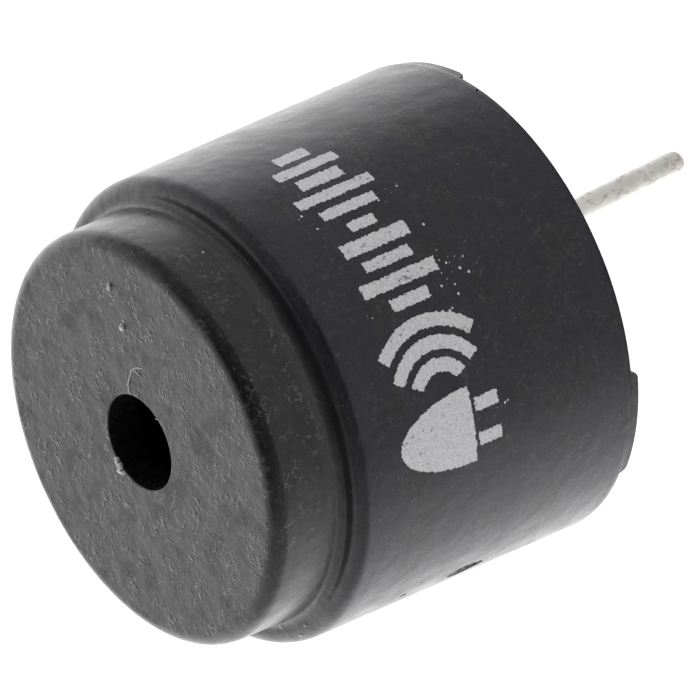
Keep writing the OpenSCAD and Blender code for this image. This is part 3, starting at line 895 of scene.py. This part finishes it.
def make_spatter(material):
    """Fine ink spatter on the case's side, beyond the print, strewn by a node tree."""
    bm = bmesh.new()
    columns, rows = SPATTER_GRID
    for turn, depth, wide, high in SPATTER_PATCHES:
        grid = [[bm.verts.new(on_side(turn, depth, wide * (i / columns - 0.5),
                                      high * (k / rows - 0.5), SPATTER_LIFT))
                 for i in range(columns + 1)] for k in range(rows + 1)]
        for low, top in zip(grid, grid[1:]):
            for i in range(columns):
                bm.faces.new((low[i], low[i + 1], top[i + 1], top[i]))
    patch = scratch(bm, "spatter_patch")
    tree = spatter_tree("ink_spatter", material)
    strew = patch.modifiers.new("strew", "NODES")
    strew.node_group = tree
    smallest, largest = SPATTER_RADII
    values = {"Density": SPATTER_DENSITY / MM ** 2, "Seed": SPATTER_SEED,
              "Smallest": smallest * MM, "Largest": largest * MM}
    for item in tree.interface.items_tree:
        if item.in_out == "INPUT" and item.name in values:
            strew[item.identifier] = values[item.name]
    graph = bpy.context.evaluated_depsgraph_get()
    mesh = bpy.data.meshes.new_from_object(patch.evaluated_get(graph))
    mesh.name = "print_spatter"
    data = patch.data
    bpy.data.objects.remove(patch)
    bpy.data.meshes.remove(data)
    new_piece("print_spatter", mesh, material, None)


def on_face(turn, r, proud=0.0):
    """A point of the face, by its turn from the case's front, as the print's, and its radius."""
    angle = CAMERA_AZIMUTH - math.radians(turn)
    return Vector((r * math.cos(angle), r * math.sin(angle), FACE_Z + proud)) * MM


def outward(turn):
    """The level way out of the axis, at a turn from the case's front."""
    angle = CAMERA_AZIMUTH - math.radians(turn)
    return Vector((math.cos(angle), math.sin(angle), 0))


def crumb(bm, centre, along, normal, half, rng):
    """A crumb of flash: an uneven ball with half sizes along, across and away from the surface."""
    across = normal.cross(along)
    for vert in bmesh.ops.create_icosphere(bm, subdivisions=2, radius=1.0)["verts"]:
        p = vert.co * rng.uniform(*CRUMB_UNEVEN)
        vert.co = centre + (along * p.x * half[0] + across * p.y * half[1]
                            + normal * p.z * half[2]) * MM


def fibre(bm, points):
    """A thin bent fibre through the points."""
    rings = []
    for i, point in enumerate(points):
        run = (points[min(i + 1, len(points) - 1)] - points[max(i - 1, 0)]).normalized()
        level = run.cross(UP).normalized()
        upright = level.cross(run)
        turns = (math.tau * k / FIBRE_SIDES for k in range(FIBRE_SIDES))
        reach = FIBRE_R * (FIBRE_END if i in (0, len(points) - 1) else 1.0) * MM
        rings.append([bm.verts.new(point + (level * math.cos(t) + upright * math.sin(t)) * reach)
                      for t in turns])
    join_rings(bm, rings)
    cap_ends(bm, rings)


def make_crumbs(material):
    """White crumbs and a frayed fibre that the moulding left on the face, boss and shoulder."""
    rng = random.Random(21)
    bm = bmesh.new()
    for turn, r, slant, half in FACE_CRUMBS:
        crumb(bm, on_face(turn, r), outward(turn + slant), UP, half, rng)
    for turn, r, half in SHOULDER_CRUMBS:
        into_round = max(0.0, r - (case_radius(SHOULDER_Z) - SHOULDER_ROUND))
        drop = SHOULDER_ROUND - math.sqrt(SHOULDER_ROUND ** 2 - into_round ** 2)
        out = outward(turn)
        crumb(bm, (out * r + UP * (SHOULDER_Z - drop)) * MM, out, UP, half, rng)
    for turn, depth, half in BOSS_CRUMBS:
        out = outward(turn)
        r = RIM_R - SHOULDER_W - (FACE_Z - SHOULDER_Z - depth) * math.tan(DRAFT)
        crumb(bm, (out * r + UP * (FACE_Z - depth)) * MM, UP, out, half, rng)
    for strand in FACE_FIBRES:
        fibre(bm, [on_face(turn, r, FIBRE_LIFT) for turn, r in strand])
    bmesh.ops.recalc_face_normals(bm, faces=bm.faces)
    new_piece("moulding_crumbs", as_mesh(bm, "moulding_crumbs"), material)


# ---------------------------------------------------------------- camera, light and floor
def make_camera():
    """The camera, from the place of the face's centre in the image."""
    back = FRONT * math.cos(CAMERA_ELEVATION) + UP * math.sin(CAMERA_ELEVATION)
    to_rear = (-UP - back * (-UP).dot(back)).normalized()
    right = to_rear * math.cos(AXIS_TILT) + ACROSS * math.sin(AXIS_TILT)
    down = -to_rear * math.sin(AXIS_TILT) + ACROSS * math.cos(AXIS_TILT)
    half = IMAGE_SIDE / 2
    across_mm = (FACE_PIXEL[0] - half) / PIXELS_PER_MM
    down_mm = (FACE_PIXEL[1] - half) / PIXELS_PER_MM
    place = UP * FACE_Z - right * across_mm - down * down_mm + back * CAMERA_DISTANCE
    data = bpy.data.cameras.new("camera")
    data.sensor_width = SENSOR
    data.lens = PIXELS_PER_MM * CAMERA_DISTANCE / IMAGE_SIDE * SENSOR
    data.clip_start, data.clip_end = CLIP
    camera = bpy.data.objects.new("camera", data)
    bpy.context.scene.collection.objects.link(camera)
    axes = Matrix((right, -down, back)).transposed().to_4x4()
    camera.matrix_world = Matrix.Translation(place * MM) @ axes
    bpy.context.scene.camera = camera


def make_studio():
    """A pale tent all round, greyer at the front, with a dark gap where the camera looks in."""
    world = bpy.data.worlds.new("studio")
    world.use_nodes = True
    tree = world.node_tree
    tree.nodes.clear()
    way = add_node(tree, "ShaderNodeTexCoord", output="Generated")

    def along(axis):
        return add_node(tree, "ShaderNodeVectorMath", {"operation": "DOT_PRODUCT"},
                        {0: way, 1: axis}, output="Value")

    ahead, aside, up = along(FRONT), along(ACROSS), along(UP)
    azimuth = aside.math("ARCTAN2", ahead) * (180 / math.pi)
    climb = up.math("ARCTAN2", ahead) * (180 / math.pi)
    elevation = up.math("ARCSINE") * (180 / math.pi)
    front = azimuth.ramp(*FRONT_LEFT) * (1 - azimuth.ramp(*FRONT_RIGHT))
    back = azimuth.abs().ramp(*BACK_EDGE)
    high = (elevation - back * BACK_RISE).rise(*HIGH_EDGE)
    gap = climb.rise(*GAP_LOW) * (1 - climb.rise(*GAP_TOP)) * (1 - aside.abs().rise(*GAP_SIDE))
    light = TENT + front * (FRONT_PANEL - TENT) + back * (BACK_WALL - TENT)
    light = light * (1 - high * HIGH_LOSS) * (1 - gap * GAP_DEPTH)
    light = light * elevation.ramp(*TABLE_EDGE, UNDERSIDE, 1.0)
    seen = add_node(tree, "ShaderNodeLightPath", output="Is Camera Ray")
    strength = light + seen * (1 - light)
    glow = add_node(tree, "ShaderNodeBackground", None,
                    {"Color": (1, 1, 1, 1), "Strength": strength})
    add_node(tree, "ShaderNodeOutputWorld", None, {"Surface": glow})
    bpy.context.scene.world = world


def make_floor(material):
    """A level sheet under the pins' tips."""
    bm = bmesh.new()
    bmesh.ops.create_grid(bm, x_segments=1, y_segments=1, size=FLOOR_REACH)
    bmesh.ops.translate(bm, verts=bm.verts, vec=(0, 0, (PIN_TIP_Z - FLOOR_GAP) * MM))
    mesh = bpy.data.meshes.new("floor")
    bm.to_mesh(mesh)
    bm.free()
    mesh.materials.append(material)
    floor = bpy.data.objects.new("floor", mesh)
    bpy.context.scene.collection.objects.link(floor)
    floor.visible_glossy = False


def dress_solids(finishes):
    """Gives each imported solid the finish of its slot."""
    slots = {part["node"]: part["material_slot"] for part in frame["record"]["subparts"]}
    for name, solid in frame["nodes"].items():
        solid.data.materials.clear()
        solid.data.materials.append(finishes[slots[name]])


# ---------------------------------------------------------------- the whole scene
make_camera()
make_studio()
make_floor(white_paper())

FINISHES = {slot: speckled(slot, *look) for slot, look in PLAIN_FINISHES.items()}
FINISHES.update(case_plastic=case_plastic(), print_ink=print_ink(), potting_epoxy=potting_epoxy(),
                tinned_wire=tinned_wire(), white_flash=white_flash(), enamelled_copper=wound_wire())
dress_solids(FINISHES)
make_case(FINISHES["case_plastic"])
make_pin("pin_plus", 1, PIN_LEAN, FINISHES["tinned_wire"])
make_pin("pin_minus", -1, 0.0, FINISHES["tinned_wire"])
make_sign(FINISHES["print_ink"])
make_wave(FINISHES["print_ink"])
make_spatter(FINISHES["print_ink"])
make_crumbs(FINISHES["white_flash"])

bpy.context.scene.view_settings.view_transform = "Standard"
